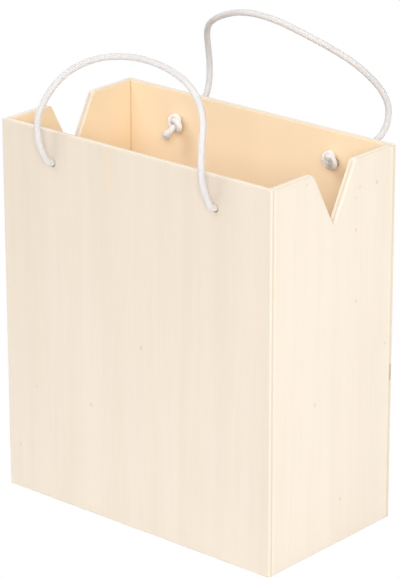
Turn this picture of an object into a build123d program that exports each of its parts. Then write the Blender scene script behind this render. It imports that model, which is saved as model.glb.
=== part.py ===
import os
from math import pi, radians, tan

from build123d import *

os.makedirs("parts", exist_ok=True)

# Tall open box of plywood, shaped like a carrier bag, with two cord handles.
# Millimetres. Origin at the middle of the underside, +Z up, front face towards -Y.

# Box
width = 264.0
depth = 144.0
height = 300.0
ply = 6.0  # thickness of every board
outer_round = 1.2  # sanded edges on the outside of the box
rim_round = 0.6  # sanded edge on the inside of the rim

# V notch in the top of each end panel
notch_width = 48.0
notch_depth = 44.7  # down to where the two sides would meet
notch_root_round = 1.5
notch_lip_round = 4.0

# Cord holes, two in the front panel and two in the back panel
hole_spacing = 160.0
hole_drop = 24.0  # from the rim down to the hole's middle
hole_diameter = 6.5

# Braided cord
cord_diameter = 5.0
knot_cord_diameter = 3.5  # the cord is drawn thin where it is knotted
cord_standoff = 3.5  # from the panel's face out to where the handle pivots
pivot_gap = 0.3  # between the handle's rounded end and the cord in the hole
bend_share = 0.45  # share of the shorter run that a bend takes

hole_height = height - hole_drop
inner_width = width - 2 * ply
inner_depth = depth - 2 * ply

# Routes of the two handles. x along the box, y out of the panel, z up, measured from the
# middle between the panel's two holes on the panel's outer face.
front_route = [
    (-80, 3.5, 0), (-80, 5.5, 4), (-79.8, 10, 10.8), (-80.6, 14.8, 23.6),
    (-80, 14.8, 43.4), (-69, 1.8, 69.8), (-46.2, -9, 85.4), (-15.5, -14, 92.2),
    (15.5, -14, 92), (46.9, -9.3, 85.6), (70.8, 0.6, 70.8), (79.9, 14.9, 43.3),
    (80.9, 15.2, 23.6), (80.9, 10.6, 10.7), (80.3, 5.8, 3.7), (80, 3.5, 0),
]
back_route = [
    (-80, 3.5, 0), (-80, 7.5, 0.5), (-80.5, 15, 1.5), (-82, 29, 4.5),
    (-86, 41.5, 14.5), (-89, 46.5, 30), (-87.5, 42.5, 47.5), (-78, 29.5, 65),
    (-63.5, 17, 78), (-40.5, 5.5, 90), (-14.5, -0.5, 98.5), (14.5, -0.5, 98),
    (40.5, 5, 89.5), (63, 17, 77), (76.5, 29, 64), (86.5, 42, 46),
    (90, 46.5, 30), (89, 41.5, 14), (84.5, 28.5, 4.5), (81.5, 15, 1.5),
    (80.2, 7.5, 0.8), (80, 3.5, 0),
]

# Routes of the two knots, each an overhand knot. x across, y up, z away from the panel,
# measured from the middle of the hole on the panel's inner face. They start inside the hole.
hanging_knot = [
    (0, 0, -2.5), (0, 0, 0.3), (2.2, -0.8, 1.9), (3.8, 0.8, 3.6), (4.6, 1.7, 6.8),
    (6.6, 3.4, 9), (9.6, 4.2, 10.2), (12.8, 3.2, 11), (14.7, 0.2, 11.2), (13.6, -3.1, 10.2),
    (10.4, -4.3, 9.6), (7.2, -4.5, 8.8), (4.2, -3.7, 7.4), (1.6, -1.9, 6.4),
    (-0.4, 0.8, 5.2), (0.5, 3.7, 3.5), (3.7, 5.1, 3.2), (7.1, 4.2, 3.9), (9.1, 2.1, 5.7),
    (9.9, 0.3, 8.2), (10.4, -0.4, 11.6), (10.2, -2.2, 14.2), (8.8, -4.9, 15.6),
    (6.8, -7.8, 15.8),
]
straight_knot = [
    (0, 0, -2.5), (0, 0, 1.3), (-2.9, 3.4, 3.8), (-2.3, 4.2, 7), (-0.5, 5.9, 9.4),
    (2.3, 7, 10.8), (5.6, 6.3, 11.6), (7.8, 3.5, 11.7), (7.1, 0.2, 10.4), (4.1, -1.3, 9.6),
    (1, -1.8, 8.7), (-2.1, -1.3, 7.3), (-4.8, 0.3, 6.3), (-7.1, 2.8, 5.2),
    (-6.5, 5.9, 3.8), (-3.5, 7.7, 3.6), (-0.1, 7.2, 4.4), (2.2, 5.2, 6.1), (3.1, 3.3, 8.5),
    (3.5, 2.4, 11.9), (4.3, 2.7, 15.2),
]


def bend_radii(points):
    """Radius of each bend: bend_share of the shorter run over tan of half the turn."""
    places = [Vector(*p) for p in points]
    runs = [b - a for a, b in zip(places, places[1:])]
    return [
        bend_share * min(r.length, s.length) / tan(radians(r.get_angle(s) / 2))
        for r, s in zip(runs, runs[1:])
    ]


# Base panel, held between the four walls
with BuildPart() as base_panel:
    with BuildSketch():
        Rectangle(inner_width, inner_depth)
    extrude(amount=ply)
base_panel.part.label = "base_panel"
export_step(base_panel.part, "parts/base_panel.step")

# Front and back panels, full width, covering the edges of the end panels
for name, side in (("front_panel", -1), ("back_panel", 1)):
    outer_y = side * depth / 2
    inner_y = side * inner_depth / 2
    with BuildPart() as wide_panel:
        with BuildSketch():
            with Locations((0, (outer_y + inner_y) / 2)):
                Rectangle(width, ply)
        extrude(amount=height)
        inner_face = wide_panel.faces().filter_by(Axis.Y).sort_by(Axis.Y)[0 if side > 0 else -1]
        inner_edges = inner_face.edges()
        fillet([e for e in wide_panel.edges() if e not in inner_edges], radius=outer_round)
        # sanded rim between the end panels
        with BuildSketch(Plane.YZ.offset(-inner_width / 2)):
            with BuildLine():
                back_off = side * rim_round
                Polyline(
                    (inner_y + back_off, height), (inner_y, height), (inner_y, height - rim_round)
                )
                RadiusArc(
                    (inner_y, height - rim_round), (inner_y + back_off, height), -side * rim_round
                )
            make_face()
        extrude(amount=inner_width, mode=Mode.SUBTRACT)
        # cord holes
        with Locations(Plane((0, outer_y, hole_height), x_dir=(1, 0, 0), z_dir=(0, side, 0))):
            with Locations((-hole_spacing / 2, 0), (hole_spacing / 2, 0)):
                Hole(hole_diameter / 2, ply)
    wide_panel.part.label = name
    export_step(wide_panel.part, f"parts/{name}.step")

# End panels, between the front and back panels, each with the V notch in its top edge
for name, side in (("left_end_panel", -1), ("right_end_panel", 1)):
    with BuildPart() as end_panel:
        with BuildSketch(Plane.YZ.offset(side * inner_width / 2)):
            with Locations((0, height / 2)):
                Rectangle(inner_depth, height)
            with BuildLine():
                Polyline(
                    (-notch_width / 2, height), (0, height - notch_depth),
                    (notch_width / 2, height), close=True,
                )
            make_face(mode=Mode.SUBTRACT)
            mouth = vertices().filter_by_position(Axis.X, -notch_width / 2, notch_width / 2)
            fillet(mouth.sort_by(Axis.Y)[0], radius=notch_root_round)
            fillet(vertices().group_by(Axis.Y)[-1].sort_by(Axis.X)[1:-1], radius=notch_lip_round)
        extrude(amount=side * ply)
        inner_face, outer_face = end_panel.faces().filter_by(Axis.X).sort_by(Axis.X)[::side]
        rim = inner_face.edges().filter_by(Axis.Z, reverse=True).sort_by(Axis.Z)[1:]
        outline = outer_face.edges().filter_by(Axis.Z, reverse=True)
        fillet(rim, radius=rim_round)
        fillet(outline, radius=outer_round)
    end_panel.part.label = name
    export_step(end_panel.part, f"parts/{name}.step")

# Handles, one loop of cord outside each wide panel, with rounded ends where they pivot
for name, side, points in (
    ("front_handle_loop", -1, front_route),
    ("back_handle_loop", 1, back_route),
):
    outside = Plane((0, side * depth / 2, hole_height), x_dir=(1, 0, 0), z_dir=(0, 0, 1))
    route_points = [(x, side * out, up) for x, out, up in points]
    radii = bend_radii(route_points)
    print(name, "bend radii", [round(r, 1) for r in radii])
    with BuildPart() as loop:
        with BuildLine(outside) as route:
            FilletPolyline(*route_points, radius=radii)
        start, end = route.line @ 0, route.line @ 1
        with BuildSketch(Plane(start, z_dir=route.line % 0)):
            Circle(cord_diameter / 2)
        sweep(path=route.line)
        with Locations(start, end):
            Sphere(cord_diameter / 2)
    length = sum(e.length for e in route.edges())
    solid = pi * cord_diameter**2 * (length / 4 + cord_diameter / 6)
    print(name, "length", round(length, 1), "volume", round(loop.part.volume, 1), "of", round(solid, 1))
    loop.part.label = name
    export_step(loop.part, f"parts/{name}.step")

# Fixed ends of the two cords: the short length through each hole and the knot behind it
for name, end, side, points in (
    ("front_left", -1, -1, straight_knot),
    ("front_right", 1, -1, hanging_knot),
    ("back_left", -1, 1, hanging_knot),
    ("back_right", 1, 1, straight_knot),
):
    hole_x = end * hole_spacing / 2
    inner_end = inner_depth / 2 - points[0][2]
    outer_end = depth / 2 + cord_standoff - cord_diameter / 2 - pivot_gap
    with BuildPart() as cord_in_hole:
        with BuildSketch(Plane((hole_x, side * inner_end, hole_height), z_dir=(0, side, 0))):
            Circle(cord_diameter / 2)
        extrude(amount=outer_end - inner_end)
    cord_in_hole.part.label = f"{name}_cord_in_hole"
    export_step(cord_in_hole.part, f"parts/{name}_cord_in_hole.step")

    seat = Plane(
        (hole_x, side * inner_depth / 2, hole_height), x_dir=(side, 0, 0), z_dir=(0, -side, 0)
    )
    radii = bend_radii(points)
    with BuildPart() as knot:
        with BuildLine(seat) as route:
            FilletPolyline(*points, radius=radii)
        with BuildSketch(Plane(route.line @ 0, z_dir=route.line % 0)):
            Circle(knot_cord_diameter / 2)
        sweep(path=route.line)
    length = sum(e.length for e in route.edges())
    solid = pi * knot_cord_diameter**2 / 4 * length
    print(f"{name}_knot", "bend radii from", round(min(radii), 1), "length", round(length, 1),
          "volume", round(knot.part.volume, 1), "of", round(solid, 1))
    knot.part.label = f"{name}_knot"
    export_step(knot.part, f"parts/{name}_knot.step")
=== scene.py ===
import math

import bpy
import numpy as np
from mathutils import Matrix, Vector


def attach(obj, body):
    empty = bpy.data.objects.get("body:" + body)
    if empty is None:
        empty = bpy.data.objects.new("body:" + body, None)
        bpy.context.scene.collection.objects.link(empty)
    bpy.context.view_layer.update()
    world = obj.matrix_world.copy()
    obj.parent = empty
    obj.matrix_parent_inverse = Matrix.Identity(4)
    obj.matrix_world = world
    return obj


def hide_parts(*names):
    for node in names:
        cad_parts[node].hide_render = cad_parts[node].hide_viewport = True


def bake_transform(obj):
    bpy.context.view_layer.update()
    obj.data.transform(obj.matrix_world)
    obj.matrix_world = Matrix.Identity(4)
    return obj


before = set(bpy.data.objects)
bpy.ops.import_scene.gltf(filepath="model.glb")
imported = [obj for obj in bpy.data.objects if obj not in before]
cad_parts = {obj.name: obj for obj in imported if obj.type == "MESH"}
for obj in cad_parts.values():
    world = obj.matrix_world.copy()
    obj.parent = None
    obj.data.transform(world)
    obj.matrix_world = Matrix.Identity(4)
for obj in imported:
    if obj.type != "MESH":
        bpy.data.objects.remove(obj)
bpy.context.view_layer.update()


# Camera at the photograph's place: a long lens in front of the right corner, looking a little
# down, so that the front panel, the right end panel and the inside of the back panel show.
yaw, pitch, roll = math.radians(41.03), math.radians(20.5), math.radians(-0.12)
forward = Vector((
    -math.sin(yaw) * math.cos(pitch), math.cos(yaw) * math.cos(pitch), -math.sin(pitch)
))
level_right = Vector((math.cos(yaw), math.sin(yaw), 0))
level_up = level_right.cross(forward)
right = level_right * math.cos(roll) + level_up * math.sin(roll)
up = level_up * math.cos(roll) - level_right * math.sin(roll)
camera_data = bpy.data.cameras.new("camera")
camera_data.sensor_width = 36
camera_data.lens = 194.45
camera_data.clip_start = 0.1
camera_data.clip_end = 20
camera = bpy.data.objects.new("camera", camera_data)
bpy.context.scene.collection.objects.link(camera)
camera_place = (1.4562, -1.6698, 1.0029)
turned = Matrix((right, up, -forward)).transposed()
camera.matrix_world = Matrix.Translation(camera_place) @ turned.to_4x4()
bpy.context.scene.camera = camera


# Cord of both handles: white polyester, 16 yarns braided round a core, 5 mm thick and limp. It
# is bought by the metre, cut, put through the holes near the rim and knotted inside the box.
class Value:
    """A socket of a shader tree, so that node maths is written as ordinary maths."""

    def __init__(self, tree, socket=None):
        self.tree, self.socket = tree, socket

    def node(self, kind, inputs={}, output=0, **settings):
        """A new node of the tree: its settings, then its inputs; gives one of its outputs."""
        node = self.tree.nodes.new(kind)
        for name, value in settings.items():
            setattr(node, name, value)
        self.feed(node, inputs)
        return Value(self.tree, node.outputs[output])

    def feed(self, node, inputs):
        """Links the inputs that are values, and sets the others."""
        for name, value in inputs.items():
            if isinstance(value, Value):
                self.tree.links.new(value.socket, node.inputs[name])
            else:
                node.inputs[name].default_value = value

    def maths(self, operation, *others):
        """The Math node's operation on this value and the others."""
        return self.node("ShaderNodeMath", dict(enumerate((self, *others))), operation=operation)

    def __add__(self, other):
        return self.maths("ADD", other)

    def __mul__(self, other):
        return self.maths("MULTIPLY", other)

    def __sub__(self, other):
        return self.maths("SUBTRACT", other)

    def __rsub__(self, other):
        return (self * -1.0) + other

    def __abs__(self):
        return self.maths("ABSOLUTE")

    __radd__, __rmul__ = __add__, __mul__

    def step(self, low, high):
        """0 below low, 1 above high, with a smooth rise between them (falling if low > high)."""
        return self.node(
            "ShaderNodeMapRange", {"Value": self, 1: low, 2: high}, interpolation_type="SMOOTHSTEP"
        )

    def parts(self):
        """The three components of a vector."""
        first = self.node("ShaderNodeSeparateXYZ", {0: self})
        return [Value(self.tree, socket) for socket in first.socket.node.outputs]

    def vector(self, y, z):
        """The vector of this value and two others."""
        return self.node("ShaderNodeCombineXYZ", {0: self, 1: y, 2: z})

    def length(self):
        """The length of this vector."""
        return self.node("ShaderNodeVectorMath", {0: self}, output=1, operation="LENGTH")

    def noise(self, scale, detail=2.0, roughness=0.5):
        """Smooth noise at this place, about 0.5 with a spread of about 0.15."""
        return self.node(
            "ShaderNodeTexNoise",
            {"Vector": self, "Scale": scale, "Detail": detail, "Roughness": roughness},
        )

    def mix(self, low, high):
        """The colour low where this value is 0 and the colour high where it is 1."""
        return self.node("ShaderNodeMix", {0: self, 6: low, 7: high}, output=2, data_type="RGBA")

    def bump(self, strength, distance):
        """The normal of a surface with this relief."""
        return self.node(
            "ShaderNodeBump", {"Height": self, "Strength": strength, "Distance": distance}
        )


def new_material(name):
    """A new material, its shader, and a Value on its tree from which nodes are made."""
    made = bpy.data.materials.new(name)
    made.use_nodes = True
    return made, made.node_tree.nodes["Principled BSDF"], Value(made.node_tree)


def braid(name, white, handled):
    """White braided polyester. `white` is how bright it is, and `handled` how much of it is
    soiled by hands. The fibres run along the yarn that is on top at each place, and the
    grooves between the yarns and the dishes at the cut ends are painted greyer as shade."""
    made, shader, tree = new_material(name)
    groove_shade = tree.node("ShaderNodeAttribute", output=2, attribute_name="groove_shade")
    over = tree.node("ShaderNodeAttribute", output=2, attribute_name="over")
    across, along, _ = tree.node("ShaderNodeTexCoord", output=2).parts()
    fibres_up = (across * 14.0).vector(along * 1.6, 0.0).noise(1.0, 3.0, 0.6)
    fibres_down = (across * 1.6).vector(along * 14.0, 3.7).noise(1.0, 3.0, 0.6)
    fibre = fibres_up * over + fibres_down * (1.0 - over)
    place = tree.node("ShaderNodeTexCoord", output=3)
    dull = (0.96 * white, 0.922 * white, 0.905 * white, 1)
    bright = (white, 0.963 * white, 0.95 * white, 1)
    soil = (0.52, 0.485, 0.475, 1)
    groove_shade_grey = (0.50, 0.46, 0.45, 1)
    colour = place.noise(45.0, 3.0, 0.6).step(0.3, 0.75).mix(dull, bright)
    soiled = place.noise(160.0, 2.0, 0.5).step(0.55, 0.8) * handled
    colour = soiled.mix(colour, soil)
    # painted shade: the grooves between the yarns and the dishes at the cut ends go greyer; some
    # fibres are a little darker too
    groove_shade_and_fibre_tone = groove_shade.step(0.35, 1.0) * 0.12 + fibre.step(0.6, 0.3) * 0.12
    tree.feed(shader, {
        "Base Color": groove_shade_and_fibre_tone.mix(colour, groove_shade_grey),
        "Roughness": 0.62 + fibre * 0.2,
        "Subsurface Weight": 1.0,
        "Subsurface Radius": (1, 1, 1),
        "Subsurface Scale": 0.005,
        "Sheen Weight": 0.1,
        "Sheen Roughness": 0.4,
        "Specular IOR Level": 0.3,
        "Normal": fibre.bump(0.4, 0.0001),
    })
    return made


def mesh_points(mesh):
    """The places of a mesh's vertices, as rows of an array."""
    places = np.empty(3 * len(mesh.vertices))
    mesh.vertices.foreach_get("co", places)
    return places.reshape(-1, 3)


def cord_line(name, points, step):
    """Points a step apart on the smooth line of a cord, and how far along it they are. The
    line is a clamped quadratic NURBS spline with the route's points as its control points."""
    curve = bpy.data.curves.new(name, "CURVE")
    curve.dimensions = "3D"
    spline = curve.splines.new("NURBS")
    spline.points.add(len(points) - 1)
    for control, point in zip(spline.points, points):
        control.co = (*point, 1)
    spline.order_u = 3
    spline.use_endpoint_u = True
    spline.resolution_u = 24
    holder = bpy.data.objects.new(name, curve)
    mesh = bpy.data.meshes.new_from_object(holder)
    line = mesh_points(mesh)
    bpy.data.objects.remove(holder)
    bpy.data.curves.remove(curve)
    bpy.data.meshes.remove(mesh)
    far = np.concatenate([[0], np.cumsum(np.linalg.norm(np.diff(line, axis=0), axis=1))])
    places = np.linspace(0, far[-1], int(far[-1] / step) + 1)
    return np.stack([np.interp(places, far, line[:, i]) for i in range(3)], axis=1), places


def side_vectors(line):
    """The line's direction at each point and two unit vectors across it. Each is the one
    before it, less its part along the new direction, so that they never twist."""
    tangents = np.gradient(line, axis=0)
    tangents /= np.linalg.norm(tangents, axis=1)[:, None]
    sides = np.empty_like(line)
    off_the_line = (0.31, 0.52, 0.79)  # any direction but the line's own
    side = np.cross(tangents[0], off_the_line)
    for i, tangent in enumerate(tangents):
        side = side - tangent * (side @ tangent)
        side /= np.linalg.norm(side)
        sides[i] = side
    return tangents, sides, np.cross(tangents, sides)


def new_piece(name, vertices, faces, surface):
    """A smooth mesh object of these vertices and faces with this material."""
    mesh = bpy.data.meshes.new(name)
    mesh.from_pydata(vertices.tolist(), [], faces)
    mesh.materials.append(surface)
    mesh.polygons.foreach_set("use_smooth", [True] * len(mesh.polygons))
    made = bpy.data.objects.new(name, mesh)
    bpy.context.scene.collection.objects.link(made)
    return made


def braided_cord(name, line, places, radii, surface, lead=0.019, yarns=8, around=48, relief=0.05):
    """A round braid of `yarns` yarns each way along the line, closed at its two cut ends.
    A yarn's number is u = yarns (turn - place / lead) one way and v, with a plus, the other
    way. Its height is the round of its own width, sqrt(1 - 0.92 (2 u - 1)^2), plus a wave
    that is over one crossing and under the next, and the surface is the higher yarn's. The
    radius is 1 - relief (1 - height) of the cord's. Each end is a shallow dish, of rings
    that are 0.86, 0.6 and 0.3 of the radius and sunk by 0.1, 0.3 and 0.42 mm, round a middle
    that is sunk by 0.45 mm."""
    tangents, sides, others = side_vectors(line)
    share = np.concatenate([[0.3, 0.6, 0.86], np.ones(len(line)), [0.86, 0.6, 0.3]])
    sunk = np.array([0.00042, 0.0003, 0.0001])
    rows = np.clip(np.arange(-3, len(line) + 3), 0, len(line) - 1)
    centres = line[rows]
    centres[:3] += sunk[:, None] * tangents[0]
    centres[-3:] -= sunk[::-1, None] * tangents[-1]
    turn = np.arange(around) / around
    u = yarns * (turn[None, :] - places[rows, None] / lead)
    v = yarns * (turn[None, :] + places[rows, None] / lead)
    round_u, round_v = (np.sqrt(1 - 0.92 * (2 * (number % 1) - 1) ** 2) for number in (u, v))
    high_u = round_u + 0.5 * (1 - 2 * (np.floor(u) % 2)) * np.sin(np.pi * v)
    high_v = round_v - 0.5 * (1 - 2 * (np.floor(v) % 2)) * np.sin(np.pi * u)
    height = np.clip((np.maximum(high_u, high_v) - 0.3) / 1.2, 0, 1)
    radius = (share * radii[rows])[:, None] * (1 - relief * (1 - height))
    angle = 2 * np.pi * turn[None, :, None]
    outward = np.cos(angle) * sides[rows, None] + np.sin(angle) * others[rows, None]
    vertices = (centres[:, None] + radius[:, :, None] * outward).reshape(-1, 3)
    count = len(rows)
    row, column = np.meshgrid(np.arange(count - 1), np.arange(around), indexing="ij")
    after = (column + 1) % around
    low, high = row * around, (row + 1) * around
    walls = np.stack([low + column, low + after, high + after, high + column], axis=-1)
    middles = np.stack([line[0] + 0.00045 * tangents[0], line[-1] - 0.00045 * tangents[-1]])
    first, last, start = count * around, count * around + 1, (count - 1) * around
    ring = np.arange(around)
    fans = np.concatenate([
        np.stack([ring * 0 + first, (ring + 1) % around, ring], axis=-1),
        np.stack([ring * 0 + last, start + ring, start + (ring + 1) % around], axis=-1),
    ])
    faces = walls.reshape(-1, 4).tolist() + fans.tolist()
    made = new_piece(name, np.concatenate([vertices, middles]), faces, surface)
    # groove_shade: how deep each place lies in a groove between the yarns or in the dish of a cut
    # end, which the material paints greyer as shade
    depth = np.maximum(1 - height, 1.2 - share[:, None])
    for attribute, values in (("groove_shade", depth), ("over", high_u > high_v)):
        layer = made.data.attributes.new(attribute, "FLOAT", "POINT")
        layer.data.foreach_set("value", np.append(values.ravel().astype(float), [1, 1]))
    turns = np.stack([column, column + 1, column + 1, column], axis=-1) / around
    leads = places[rows[np.stack([row, row, row + 1, row + 1], axis=-1)]] / lead
    uv = np.zeros((len(made.data.loops), 2))
    uv[: turns.size] = (yarns * np.stack([turns - leads, turns + leads], axis=-1)).reshape(-1, 2)
    made.data.uv_layers.new(name="yarns").data.foreach_set("uv", uv.ravel())
    return made


# Knots: the cord's own end tied in an overhand knot against the panel's inner face, squeezed
# where it is pulled tight and opening out at the cut. They stay on the box when a handle swings.
hole_height = 0.276
ply = 0.006  # thickness of every board
outer_y = 0.072  # outer faces of the front and back panels
inner_y = outer_y - ply

# routes from the middle of the hole on the panel's inner face: x across, y up, z away from it
hanging_knot = [
    (0, 0, -0.0025), (0, 0, 0.0003), (0.0022, -0.0008, 0.0019), (0.0038, 0.0008, 0.0036),
    (0.0046, 0.0017, 0.0068), (0.0066, 0.0034, 0.009), (0.0096, 0.0042, 0.0102),
    (0.0128, 0.0034, 0.011), (0.0147, 0.0008, 0.0112), (0.0136, -0.0021, 0.0102),
    (0.0104, -0.0032, 0.0096), (0.0072, -0.0035, 0.0088), (0.0042, -0.0029, 0.0074),
    (0.0016, -0.0015, 0.0064), (-0.0004, 0.0008, 0.0052), (0.0005, 0.0037, 0.0035),
    (0.0037, 0.0051, 0.0032), (0.0071, 0.0042, 0.0039), (0.0091, 0.0023, 0.0057),
    (0.0099, 0.0007, 0.0082), (0.0102, 0, 0.0116), (0.0098, -0.0016, 0.0142),
    (0.008, -0.0044, 0.0158), (0.0056, -0.007, 0.0162),
]
straight_knot = [
    (0, 0, -0.0025), (0, 0, 0.0013), (-0.0029, 0.0034, 0.0038), (-0.0023, 0.0042, 0.007),
    (-0.0005, 0.006, 0.0094), (0.0023, 0.0072, 0.0108), (0.0056, 0.0068, 0.0114),
    (0.0078, 0.0043, 0.0116), (0.0071, 0.0014, 0.0104), (0.0041, 0, 0.0096),
    (0.001, -0.0006, 0.0087), (-0.0021, -0.0003, 0.0073), (-0.0048, 0.0009, 0.0063),
    (-0.0071, 0.003, 0.0052), (-0.0065, 0.0059, 0.0038), (-0.0035, 0.0077, 0.0036),
    (-0.0001, 0.0072, 0.0044), (0.0022, 0.0052, 0.0061), (0.003, 0.0036, 0.0085),
    (0.0034, 0.0032, 0.0114), (0.0042, 0.004, 0.014), (0.0058, 0.0056, 0.016),
]

# Loose fibres at the cut ends: the same polyester without its braid, a little greyer. Each
# knot's tail ends in a tuft of 150 fibres, up to 4.2 mm long.
frayed_fibres, shader, tree = new_material("frayed_fibres")
strand = tree.node("ShaderNodeTexCoord", output=3).noise(900.0)
grey_fibre, white_fibre = (0.64, 0.59, 0.56, 1), (0.82, 0.79, 0.77, 1)
tree.feed(shader, {
    "Base Color": strand.step(0.35, 0.7).mix(grey_fibre, white_fibre),
    "Roughness": 0.6 + strand * 0.25,
    "Sheen Weight": 0.3,
    "Normal": strand.bump(0.3, 0.00005),
})


def frayed_end(name, line, radius, count, longest, seed):
    """Loose fibres at the cord's last point. With t from 0 to 1 a fibre is at
    root + length (t (ahead + lean outward) + t^2 curl / 2); it has four sides, and its
    thickness falls to half at its tip. The ones further out lean further out. Roots lie
    0.8 mm inside the cut, within 0.9 of the cord's radius."""
    tangents, sides, others = side_vectors(line)
    random = np.random.default_rng(seed)
    angle = random.uniform(0, 2 * np.pi, (count, 1))
    outward = np.cos(angle) * sides[-1] + np.sin(angle) * others[-1]
    out = np.sqrt(random.uniform(0, 1, (count, 1)))
    root = line[-1] - 0.0008 * tangents[-1] + 0.9 * radius * out * outward
    heading = tangents[-1] + random.uniform(0.2, 0.9, (count, 1)) * out * outward
    curl = random.normal(0, 0.5, (count, 3))
    length = random.uniform(0.3, 1, (count, 1)) * longest
    thick = random.uniform(0.00010, 0.00018, count)
    t = np.linspace(0, 1, 5)[None, :, None]
    middle = root[:, None] + length[:, None] * (t * heading[:, None] + t**2 * curl[:, None] / 2)
    corner = np.arange(4)[:, None] * np.pi / 2
    square = np.cos(corner) * sides[-1] + np.sin(corner) * others[-1]
    width = thick[:, None] * (1 - 0.5 * t[:, :, 0])
    vertices = middle[:, :, None] + width[:, :, None, None] * square
    fibre, ring, side = np.meshgrid(np.arange(count), np.arange(4), np.arange(4), indexing="ij")
    base, after = fibre * 20 + ring * 4, (side + 1) % 4
    walls = np.stack([base + side, base + after, base + after + 4, base + side + 4], axis=-1)
    start = np.arange(count)[:, None] * 20
    ends = np.concatenate([start + [3, 2, 1, 0], start + [16, 17, 18, 19]])
    return new_piece(
        name, vertices.reshape(-1, 3), walls.reshape(-1, 4).tolist() + ends.tolist(), frayed_fibres
    )


# The knots' cord is painted lighter than the handles' (0.72 of white against 0.58): painted light
# for the knots inside the box. It has little soil from hands.
knot_braid_lightened = braid("knot_braid_lightened", 0.72, 0.1)
with_cord = {"front": [], "back": []}
for number, (name, hole_x, wall, knot, opened) in enumerate((
    ("front_left", -0.08, -1, straight_knot, 0.0028),
    ("front_right", 0.08, -1, hanging_knot, 0.0033),
    ("back_left", -0.08, 1, hanging_knot, 0.0033),
    ("back_right", 0.08, 1, straight_knot, 0.0028),
)):
    points = [(hole_x + wall * x, wall * (inner_y - z), hole_height + y) for x, y, z in knot]
    line, places = cord_line(name, points, step=0.00028)
    # 5 mm thick in the hole, 4.8 mm in the knot, and wider again at the cut end
    radii = np.interp(
        places, [0, 0.0025, 0.006, places[-1] - 0.006, places[-1]],
        [0.0025, 0.0025, 0.0024, 0.0024, opened],
    )
    made = braided_cord(f"{name}_knotted_cord", line, places, radii, knot_braid_lightened, lead=0.016)
    # pressed flat where it lies against the panel, beside the hole
    hole_edge, clearance = 0.0031, 0.00005
    seat = mesh_points(made.data)
    beside = np.hypot(seat[:, 0] - hole_x, seat[:, 2] - hole_height) > hole_edge
    pressed = wall * np.minimum(wall * seat[:, 1], inner_y - clearance)
    seat[:, 1] = np.where(beside, pressed, seat[:, 1])
    made.data.vertices.foreach_set("co", seat.ravel())
    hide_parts(f"{name}_knot")
    fray = frayed_end(
        f"{name}_frayed_tip", line, opened, count=150, longest=0.0042, seed=11 + number
    )
    for piece in (made, fray):
        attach(piece, "box")
        with_cord[name.split("_")[0]].append(piece)


# Handles: loops of the same cord, each held by the knots behind its two holes, about which it
# swings. The front one stands up and leans inwards at the top, and the back one is a little
# longer and leans out over the back. The routes run from inside one hole to inside the other.
front_route = [
    (-0.08, -0.0686, 0.276), (-0.0803, -0.0725, 0.2763), (-0.0803, -0.0774, 0.2778),
    (-0.08, -0.0826, 0.2866), (-0.0806, -0.0868, 0.2996), (-0.08, -0.0868, 0.3194),
    (-0.069, -0.0738, 0.3458), (-0.0462, -0.063, 0.3614), (-0.0155, -0.058, 0.3682),
    (0.0155, -0.058, 0.368), (0.0469, -0.0627, 0.3616), (0.0708, -0.0726, 0.3468),
    (0.0799, -0.0869, 0.3193), (0.0792, -0.0856, 0.2992), (0.0784, -0.0796, 0.2854),
    (0.0792, -0.0764, 0.278), (0.0796, -0.0725, 0.2763), (0.08, -0.0686, 0.276),
]
back_route = [
    (-0.08, 0.0686, 0.276), (-0.08, 0.0755, 0.276), (-0.08, 0.0795, 0.2765),
    (-0.0805, 0.087, 0.2775), (-0.082, 0.101, 0.2805), (-0.086, 0.1135, 0.2905),
    (-0.089, 0.1185, 0.306), (-0.0875, 0.1145, 0.3235), (-0.078, 0.1015, 0.341),
    (-0.0635, 0.089, 0.354), (-0.0405, 0.0775, 0.366), (-0.0145, 0.0715, 0.3745),
    (0.0145, 0.0715, 0.374), (0.0405, 0.077, 0.3655), (0.063, 0.089, 0.353),
    (0.0765, 0.101, 0.34), (0.0865, 0.114, 0.322), (0.09, 0.1185, 0.306),
    (0.089, 0.1135, 0.29), (0.0845, 0.1005, 0.2805), (0.0815, 0.087, 0.2775),
    (0.0802, 0.0795, 0.2768), (0.08, 0.0755, 0.276), (0.08, 0.0686, 0.276),
]
# The handles' cord is painted darker than the knots' (0.58 of white against 0.72): painted shade
# for the strong light on the arcs. It also has more soil from hands.
handle_braid_darkened = braid("handle_braid_darkened", 0.58, 0.3)
for name, wall, route in (("front", -1, front_route), ("back", 1, back_route)):
    line, places = cord_line(name, route, step=0.00034)
    # 5 mm thick, and a little fuller where it fills its hole
    from_end = np.minimum(places, places[-1] - places)
    radii = np.interp(from_end, [0, 0.0045, 0.009], [0.0029, 0.0029, 0.0025])
    handle = braided_cord(f"{name}_handle_cord", line, places, radii, handle_braid_darkened)
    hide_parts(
        f"{name}_handle_loop", f"{name}_left_cord_in_hole", f"{name}_right_cord_in_hole"
    )
    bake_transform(handle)


# Boards: 6 mm poplar plywood of three plies, sanded and left bare, glued along their edges.
# The outer plies' grain runs upright and the core's runs across, so end grain shows in the
# core on upright edges and in the outer plies on the rim.
outer_x = 0.132  # outer faces of the end panels
inner_x = outer_x - ply
# painted bounce light: the colour of the inside faces, brighter and warmer than the wood outside
honey = (1.0, 0.81, 0.56, 1)  # the wood inside, where light goes from board to board


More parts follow.
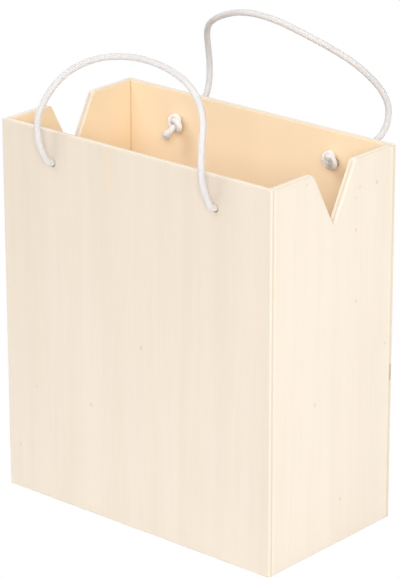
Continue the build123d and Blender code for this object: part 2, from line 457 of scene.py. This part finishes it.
def plywood(name, across, thick, outer, inner, seed, tone, painted_bounce, painted_shade_amounts, marks=(), gaps=()):
    """Bare plywood for a board. `across` and `thick` are the axes (0 x, 1 y, 2 z) along the
    board and through it, `outer` and `inner` the places of its two faces on the second. The
    face's colour is `tone` of full on the outside and goes over to `painted_bounce` on the
    inside, a brighter, warmer colour that is painted light for the light going from board to
    board.
    `painted_shade_amounts` is how much painted shade darkens it, per metre of height and
    inside near the rim. The grain is noise that is drawn out along z. A mark is a stain in an
    ellipse: its place across and up, half its width and height, its strength and its colour.
    A gap is a dark place in an edge: its height, half the height it takes, its place through
    the board, half its width.
    Plies show where the surface faces neither way through the board; depth is 0 on its outer
    face and 1 on its inner one."""
    made, shader, tree = new_material(name)
    xyz = tree.node("ShaderNodeTexCoord", output=3).parts()
    facing = tree.node("ShaderNodeTexCoord", output=1).parts()
    a, t, z = xyz[across], xyz[thick], xyz[2]
    depth = (t - outer) * (1.0 / (inner - outer))
    edge = abs(facing[thick]).step(0.85, 0.5)
    inside = (facing[thick] * (1.0 if inner > outer else -1.0)).step(0.3, 0.7)
    rim = abs(facing[2]).step(0.5, 0.85)

    # upright figure of the face veneer
    wander = a.vector(seed, z * 0.5).noise(9.0)
    shifted = a + (wander - 0.5) * 0.012
    figure = (shifted * 55.0).vector(seed, z * 2.4).noise(1.0, 4.0, 0.6)
    fine = (shifted * 900.0).vector(seed, z * 22.0).noise(1.0, 3.0, 0.6)
    pores = (shifted * 2300.0).vector(seed + 5.0, z * 130.0).noise(1.0, 1.0)
    broad = a.vector(seed, z).noise(7.0)
    grain = figure * 0.55 + fine * 0.3 + broad * 0.15
    late_wood = (0.84 * tone, 0.74 * tone, 0.618 * tone, 1)
    early_wood = (0.885 * tone, 0.79 * tone, 0.676 * tone, 1)
    pore_brown = (0.62, 0.48, 0.33, 1)
    face = grain.step(0.30, 0.64).mix(late_wood, early_wood)
    face = (pores.step(0.64, 0.78) * 0.12).mix(face, pore_brown)
    for x, height, half_width, half_height, amount, stain in marks:
        away = ((a - x) * (1 / half_width)).vector((z - height) * (1 / half_height), 0.0).length()
        face = (away.step(1.0, 0.2) * amount).mix(face, stain)
    # painted bounce light: the inside faces go over to the brighter, warmer colour
    face = (inside * 0.9).mix(face, painted_bounce)
    # painted shade: darker towards the top outside, and inside near the rim, for how the light
    # falls on the boards
    painted_shade = z * painted_shade_amounts[0] + inside * z.step(0.22, 0.30) * painted_shade_amounts[1]
    painted_shade_brown = (0.34, 0.24, 0.14, 1)
    face = painted_shade.mix(face, painted_shade_brown)
    # glue in the corners inside, darkened further as painted shade where the boards meet
    corner_at = (inner_x, inner_y)[across]
    corner = abs(a).step(corner_at - 0.0014, corner_at - 0.0002) * inside
    glue_and_corner_shade = (0.52, 0.36, 0.20, 1)
    face = (corner * 0.4).mix(face, glue_and_corner_shade)

    # plies on the edges: the core is the middle third, with a glue line on each side of it
    core = depth.step(0.28, 0.34) * depth.step(0.66, 0.60)
    end_grain = rim * (1.0 - core) + (1.0 - rim) * core
    specks = (a * 1500.0).vector(t * 1500.0, z * 1500.0).noise(1.0, 2.0, 0.7)
    streaks = a.vector(t * 700.0, z * 30.0).noise(3.0, 3.0, 0.6)
    long_grain = streaks.step(0.3, 0.7).mix((0.82, 0.73, 0.61, 1), (0.86, 0.78, 0.67, 1))
    cut_grain = specks.step(0.35, 0.7).mix((0.66, 0.56, 0.44, 1), (0.80, 0.71, 0.59, 1))
    plies = end_grain.mix(long_grain, cut_grain)
    glue = abs(depth - 0.31).step(0.03, 0.0) + abs(depth - 0.63).step(0.03, 0.0)
    glue_brown = (0.55, 0.43, 0.30, 1)
    plies = (glue * 0.2).mix(plies, glue_brown)
    # sawn edges are darker than the sanded rim, and painted shade darkens them further against the
    # lamps' light
    sawn_and_shaded_brown = (0.40, 0.33, 0.24, 1)
    plies = ((1.0 - rim) * 0.18).mix(plies, sawn_and_shaded_brown)
    shadow_brown = (0.30, 0.24, 0.18, 1)
    for level, half_height, middle, half_width in gaps:
        gap = abs(z - level + (specks - 0.5) * 0.002).step(half_height, half_height * 0.7)
        gap = gap * abs(t - middle).step(half_width, half_width * 0.5)
        gap = gap * facing[across].step(0.5, 0.8)
        plies = (gap * 0.8).mix(plies, shadow_brown)
    colour = edge.mix(face, plies)
    # rounded edges are a little darker, but not round the sanded rim: painted shade where they
    # turn from the light, and some wear from handling
    flat = abs(facing[0]).maths("MAXIMUM", abs(facing[1])).maths("MAXIMUM", abs(facing[2]))
    handled = flat.step(0.995, 0.92) * abs(facing[2]).step(0.9, 0.3)
    edge_shade_and_wear_brown = (0.20, 0.16, 0.11, 1)
    colour = (handled * 0.09).mix(colour, edge_shade_and_wear_brown)
    relief = fine * 0.6 + pores.step(0.75, 0.6) * 0.4 + specks * edge * 0.8
    tree.feed(shader, {
        "Base Color": colour,
        "Roughness": 0.52 + fine * 0.2 + edge * 0.15,
        "Specular IOR Level": 0.3,
        "Normal": relief.bump(0.25, 0.0002),
    })
    return made


def dress(node, surface):
    """Gives a CAD node this material on every face."""
    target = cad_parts[node]
    target.data.materials.clear()
    target.data.materials.append(surface)
    for slot in target.material_slots:
        slot.material = surface


def pin_knots(*places):
    """Marks for pin knots in the veneer: place across, height, half width and strength of
    each. A knot is 1.3 times as high as it is wide."""
    knot_brown = (0.46, 0.29, 0.16, 1)
    return [(x, z, half, half * 1.3, amount, knot_brown) for x, z, half, amount in places]


# Front panel: full width, covers the edges of the two end panels, with two cord holes. Its
# veneer has five pin knots and a faint warm streak below the rim.
warm_streak = (-0.025, 0.282, 0.006, 0.022, 0.22, (0.74, 0.54, 0.34, 1))
dress("front_panel", plywood(
    "front_plywood", 0, 1, -outer_y, -inner_y,
    seed=1.7, tone=0.765, painted_bounce=honey, painted_shade_amounts=(0.5, 0.0),
    marks=pin_knots(
        (-0.1199, 0.0367, 0.0016, 0.30), (-0.1037, 0.0668, 0.0013, 0.2),
        (-0.1009, 0.0905, 0.0013, 0.28), (-0.0437, 0.0906, 0.0018, 0.34),
        (0.0076, 0.150, 0.0018, 0.42),
    ) + [warm_streak],
))

# Back panel: the same board, with the other two holes. Its core has a gap on the right edge,
# where the cross pieces of the core don't meet.
dress("back_panel", plywood(
    "back_plywood", 0, 1, outer_y, inner_y,
    seed=8.3, tone=0.88, painted_bounce=(1.0, 0.805, 0.56, 1), painted_shade_amounts=(0.0, 0.16),
    marks=pin_knots(
        (-0.06, 0.05, 0.0018, 0.35), (0.031, 0.21, 0.0015, 0.4), (0.083, 0.132, 0.0019, 0.3)
    ),
    gaps=[(0.1205, 0.0078, 0.0697, 0.0009)],
))

# End panels: glued between the front and back panels, each with a V notch sawn in its top
# edge. The right one's veneer has nine pin knots.
dress("left_end_panel", plywood(
    "left_plywood", 1, 0, -outer_x, -inner_x,
    seed=14.9, tone=0.88, painted_bounce=(1.0, 0.79, 0.53, 1), painted_shade_amounts=(0.0, 0.08),
    marks=pin_knots((0.02, 0.16, 0.0018, 0.35), (-0.041, 0.081, 0.0015, 0.3)),
))
dress("right_end_panel", plywood(
    "right_plywood", 1, 0, outer_x, inner_x,
    seed=21.1, tone=0.855, painted_bounce=honey, painted_shade_amounts=(0.08, 0.0),
    marks=pin_knots(
        (0.0494, 0.2763, 0.0019, 0.38), (0.0254, 0.2455, 0.0018, 0.32),
        (0.0268, 0.1897, 0.0016, 0.36), (0.0629, 0.1457, 0.0015, 0.32),
        (0.0113, 0.0354, 0.0016, 0.36), (-0.032, 0.2947, 0.0015, 0.25),
        (0.0293, 0.2776, 0.0016, 0.24), (0.0248, 0.2703, 0.0013, 0.2),
        (-0.0199, 0.1216, 0.0019, 0.25),
    ),
))

# Base panel: the same plywood, bare on both faces. It is glued between the four walls, flush
# with their lower edges.
dress("base_panel", plywood(
    "base_plywood", 0, 2, 0.0, ply, seed=30.5, tone=0.88, painted_bounce=honey, painted_shade_amounts=(0.0, 0.0)
))


# Floor: white paper under the box. It takes and throws light as paper does, and the camera
# sees it as plain white, as in a studio cut-out.
reach = 3  # from the middle to each side, in metres
floor_mesh = bpy.data.meshes.new("floor")
floor_mesh.from_pydata(
    [(-reach, -reach, 0), (reach, -reach, 0), (reach, reach, 0), (-reach, reach, 0)],
    [], [(0, 1, 2, 3)],
)
floor = bpy.data.objects.new("floor", floor_mesh)
bpy.context.scene.collection.objects.link(floor)
floor.location.z = -0.0001  # just clear of the box's underside
white_paper, shader, tree = new_material("white_paper")
tree.feed(shader, {"Base Color": (0.92, 0.92, 0.92, 1), "Roughness": 0.9})


def plainly_seen(tree):
    """1 for what the camera sees straight, in a gloss or through glass, and 0 for light."""
    seen = tree.node("ShaderNodeLightPath")
    ray = seen.socket.node.outputs
    glossy = Value(tree.tree, ray["Is Glossy Ray"])
    through = Value(tree.tree, ray["Is Transmission Ray"])
    return seen.maths("MAXIMUM", glossy).maths("MAXIMUM", through)


paper_white = tree.node("ShaderNodeEmission", {"Color": (1, 1, 1, 1), "Strength": 1.0})
lit_paper = Value(tree.tree, shader.outputs[0])
paper = tree.node("ShaderNodeMixShader", {0: plainly_seen(tree), 1: lit_paper, 2: paper_white})
tree.feed(tree.tree.nodes["Material Output"], {0: paper})
floor_mesh.materials.append(white_paper)

# White room: pure white to the camera, softer as a light.
world = bpy.data.worlds.new("white_room")
bpy.context.scene.world = world
world.use_nodes = True
tree = Value(world.node_tree)
tree.feed(world.node_tree.nodes["Background"], {
    "Color": plainly_seen(tree).mix((0.41, 0.41, 0.41, 1), (1, 1, 1, 1)),
    "Strength": 1.0,
})


# Studio light: a softbox in front and to the left casts the knots' and cords' shadows, a low
# lamp by the camera lights the inside over the rim, and weak ones fill from above, from the
# right and from behind on the left.
def area_light(name, towards, distance, size, power):
    """A square lamp of this size, so far from the box's middle in the direction `towards`."""
    data = bpy.data.lights.new(name, "AREA")
    data.size = size
    data.energy = power
    made = bpy.data.objects.new(name, data)
    bpy.context.scene.collection.objects.link(made)
    direction = Vector(towards).normalized()
    box_middle = Vector((0, 0, 0.2))
    made.location = box_middle + direction * distance
    made.rotation_mode = "QUATERNION"
    made.rotation_quaternion = direction.to_track_quat("Z", "Y")


area_light("softbox", (-0.45, -1, 1.3), distance=2.6, size=1.2, power=21)
area_light("by_the_camera", (0.6, -0.75, 0.42), distance=3.4, size=1.3, power=72)
area_light("overhead", (0.1, -0.1, 1), distance=1.6, size=1.2, power=5)
area_light("wide_fill", (1, -0.05, 0.33), distance=2.2, size=1.6, power=12)
area_light("behind_left", (-1, 0.9, 0.35), distance=3.0, size=1.6, power=18)

bpy.context.scene.view_settings.view_transform = "Standard"

bpy.context.view_layer.update()
